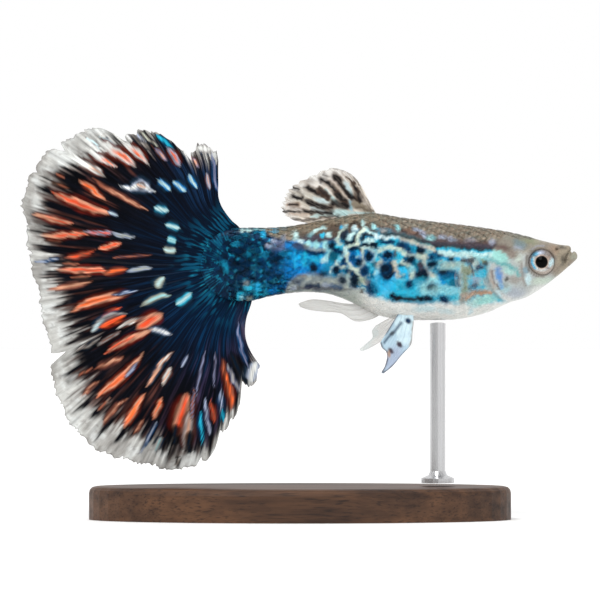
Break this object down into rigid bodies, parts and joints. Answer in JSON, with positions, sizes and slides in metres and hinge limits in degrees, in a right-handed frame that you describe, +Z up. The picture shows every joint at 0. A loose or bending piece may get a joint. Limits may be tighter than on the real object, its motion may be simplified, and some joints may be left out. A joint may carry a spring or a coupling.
{
  "type": "fancy guppy model",
  "caption": "Still life-size model of a male guppy with a wide ruffled fan tail, spotted turquoise flanks and a small raised dorsal fin, held over an oval base by one thin rod.",
  "frame": {"origin": "centre of the display base's underside", "axes": "+X towards the fish's snout, +Y to the fish's left, +Z up"},
  "size_m": [0.0499, 0.018, 0.0353],
  "materials": {
    "back_olive": "wet scaled skin, satin",
    "flank_turquoise": "iridescent scaled skin, glossy",
    "stalk_blue": "iridescent scaled skin, glossy",
    "tail_navy": "thin wet membrane, satin",
    "fin_spotted": "thin wet membrane, satin",
    "fin_clear": "clear thin membrane, satin",
    "fin_blue": "thin wet membrane, satin",
    "eye": "wet, glossy",
    "wood": "dark, satin varnish",
    "steel": "brushed"
  },
  "bodies": {
    "root": {"head": "back_olive", "torso": "flank_turquoise", "tail_stalk": "stalk_blue", "tail_fin": "tail_navy", "dorsal_fin": "fin_spotted", "anal_fin": "fin_clear", "pelvic_fin_left": "fin_clear", "pelvic_fin_right": "fin_blue", "pectoral_fin_left": "fin_clear", "pectoral_fin_right": "fin_clear", "eye_left": "eye", "eye_right": "eye", "stand_base": "wood", "stand_rod": "steel"}
  },
  "joints": []
}
